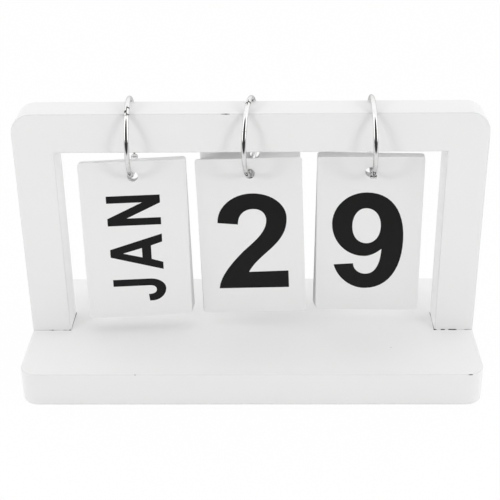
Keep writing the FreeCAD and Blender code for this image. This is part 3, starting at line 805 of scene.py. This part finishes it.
INK_PROUD = 0.02
INK_SUNK = -0.01


def add_stroke(shape, face, loops):
    """One stroke of ink: an outline, the holes in it, and the ink's edge round them all."""
    flat = [point for loop in loops for point in loop]
    fronts = [shape.verts.new(face.at(point, INK_PROUD)) for point in flat]
    backs = [shape.verts.new(face.at(point, INK_SUNK)) for point in flat]
    for a, b, c in tessellate_polygon([[point.to_3d() for point in loop] for loop in loops]):
        shape.faces.new((fronts[a], fronts[b], fronts[c]))
        shape.faces.new((backs[c], backs[b], backs[a]))
    start = 0
    for loop in loops:
        count = len(loop)
        for i in range(count):
            a, b = start + i, start + (i + 1) % count
            shape.faces.new((fronts[a], fronts[b], backs[b], backs[a]))
        start += count


def print_on(node, outlines, name):
    """Raised ink on a card's front, in the shape of the outlines."""
    face = CardFace(node)
    shape = bmesh.new()
    holes = [o for o in outlines if any(o is not q and is_inside(o[0], q) for q in outlines)]
    for outer in [o for o in outlines if not any(o is hole for hole in holes)]:
        add_stroke(shape, face, [outer] + [hole for hole in holes if is_inside(hole[0], outer)])
    bmesh.ops.recalc_face_normals(shape, faces=shape.faces)
    mesh = bpy.data.meshes.new(name)
    shape.to_mesh(mesh)
    shape.free()
    mesh.materials.append(black_ink)
    piece = put(name, mesh)
    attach(piece, body_of_node[node])


MONTHS = ("january", "february", "march", "april", "may", "june", "july", "august", "september",
          "october", "november", "december")
for month in MONTHS:
    print_on(month + "_card", word(month[:3].upper()), month + "_print")
for node in sorted(nodes):
    if node.startswith(("tens_card_", "ones_card_")):
        print_on(node, figure(node[-1]), node.replace("card", "print"))


# The studio. Soft light, by the side from which it comes.
SKY = {"above": 0.95, "right": 1.5, "left": 1.35, "behind": 0.6, "low_behind": 1.0}

# What the rings mirror: greys, and how far in front of the stand the floor turns dark, in
# millimetres.
MIRRORED = {"sky": 1.2, "strips": 1.8, "floor": 0.9, "dark": 0.05}
DARK_FLOOR = (180, 300)

# The dark of the room and the bright strips beside it, in directions: between which shares of
# sideways one fades into the other, and between which heights each ends.
ROOM_FRONT = (-0.05, 0.1)
DARK_SIDE, DARK_TOP = (0.70, 0.88), (0.90, 0.97)
STRIP_SIDE, STRIP_TOP = (0.82, 0.94), (0.75, 0.95)
STRAIGHT_UP = 0.002

# The floor, in metres, its grey, and the share of it that stays plain white to the camera.
FLOOR_REACH = 6
FLOOR_GREY = 0.95
FLOOR_WHITE = 0.92


def make_floor():
    """A pale floor that keeps a faint shadow round the stand."""
    finish = new_finish("studio_floor")
    seen, mirrored = finish.seen_and_mirrored()
    y = finish.parts(finish.place())[1]
    dark = (0 - y).ease(*DARK_FLOOR)
    lit = finish.add("ShaderNodeBsdfDiffuse", None, {"Color": grey(FLOOR_GREY)})
    white = finish.glow("ShaderNodeEmission", grey(1.0))
    gloss = finish.glow(
        "ShaderNodeEmission",
        finish.blend(dark, grey(MIRRORED["floor"]), grey(MIRRORED["dark"])))
    shader = finish.cover(seen * FLOOR_WHITE, lit, white)
    shader = finish.cover(mirrored, shader, gloss)
    finish.add("ShaderNodeOutputMaterial", None, {0: shader})
    mesh = bpy.data.meshes.new("studio_floor")
    far = FLOOR_REACH
    mesh.from_pydata([(-far, -far, 0), (far, -far, 0), (far, far, 0), (-far, far, 0)], [],
                     [(0, 1, 2, 3)])
    mesh.materials.append(finish.owner)
    floor = put("studio_floor", mesh)


def make_sky():
    """White all round, with the dark of the room low in front, which the rings mirror."""
    world = bpy.data.worlds.new("studio")
    bpy.context.scene.world = world
    room = Finish(world)
    seen, mirrored = room.seen_and_mirrored()
    x, y, z = room.parts(room.add("ShaderNodeTexCoord", out="Generated"))
    low = (1 - z.most(0)) ** 2
    behind = y.most(0) ** 2
    soft = (
        z.most(0) ** 2 * SKY["above"]
        + x.most(0) ** 2 * SKY["right"] + x.least(0) ** 2 * SKY["left"]
        + behind * SKY["behind"] + behind * low * SKY["low_behind"])
    sideways = abs(x) / (x * x + y * y + STRAIGHT_UP) ** 0.5
    ahead = (0 - y).ease(*ROOM_FRONT)
    dark = (1 - sideways.ease(*DARK_SIDE)) * ahead * (1 - z.ease(*DARK_TOP))
    strips = sideways.ease(*STRIP_SIDE) * ahead * (1 - z.ease(*STRIP_TOP))
    bright = room.blend(strips, grey(MIRRORED["sky"]), grey(MIRRORED["strips"]))
    light = room.glow("ShaderNodeBackground", soft)
    gloss = room.glow("ShaderNodeBackground", room.blend(dark, bright, grey(MIRRORED["dark"])))
    white = room.glow("ShaderNodeBackground", grey(1.0))
    shader = room.cover(mirrored, light, gloss)
    shader = room.cover(seen, shader, white)
    room.add("ShaderNodeOutputWorld", None, {0: shader})


# The lamps and the camera, in metres, watts, radians and pixels.
LAMP_PLACES = {"left_lamp": (-0.86, -0.86, 0.56), "right_lamp": (0.86, -0.86, 0.56)}
LAMP_AIM = Vector((0, 0, 0.07))
LAMP_SIZE = 0.3
LAMP_POWER = 2.25
CAMERA_PLACE = (0.0100, -0.5133, 0.3272)
CAMERA_HEADING, CAMERA_DIP, CAMERA_ROLL = -0.0209, math.radians(27.365), -0.0126
FOCAL_PIXELS, PICTURE_PIXELS = 1130.9, 500
SENSOR_MM = 36
NEAREST, FARTHEST = 0.05, 30


def make_lamp(name, place):
    """A soft round lamp that no metal mirrors."""
    lamp = bpy.data.lights.new(name, "AREA")
    lamp.shape = "DISK"
    lamp.size = LAMP_SIZE
    lamp.energy = LAMP_POWER
    holder = put(name, lamp)
    holder.location = place
    holder.rotation_mode = "QUATERNION"
    holder.visible_glossy = False
    holder.rotation_quaternion = (LAMP_AIM - Vector(place)).to_track_quat("-Z", "Y")


def make_camera():
    """Above and in front, as the picture was taken."""
    heading, dip, roll = CAMERA_HEADING, CAMERA_DIP, CAMERA_ROLL
    ahead = Vector((
        math.sin(heading) * math.cos(dip), math.cos(heading) * math.cos(dip), -math.sin(dip)))
    level = Vector((math.cos(heading), -math.sin(heading), 0))
    over = level.cross(ahead)
    right = level * math.cos(roll) + over * math.sin(roll)
    up = over * math.cos(roll) - level * math.sin(roll)
    view = bpy.data.cameras.new("camera")
    view.sensor_width = SENSOR_MM
    view.lens = FOCAL_PIXELS * SENSOR_MM / PICTURE_PIXELS
    view.clip_start = NEAREST
    view.clip_end = FARTHEST
    holder = put("camera", view)
    turn = Matrix((right, up, -ahead)).transposed()
    holder.matrix_world = Matrix.Translation(CAMERA_PLACE) @ turn.to_4x4()
    bpy.context.scene.camera = holder


make_floor()
make_sky()
for name, place in LAMP_PLACES.items():
    make_lamp(name, place)
make_camera()
bpy.context.scene.view_settings.view_transform = "Standard"
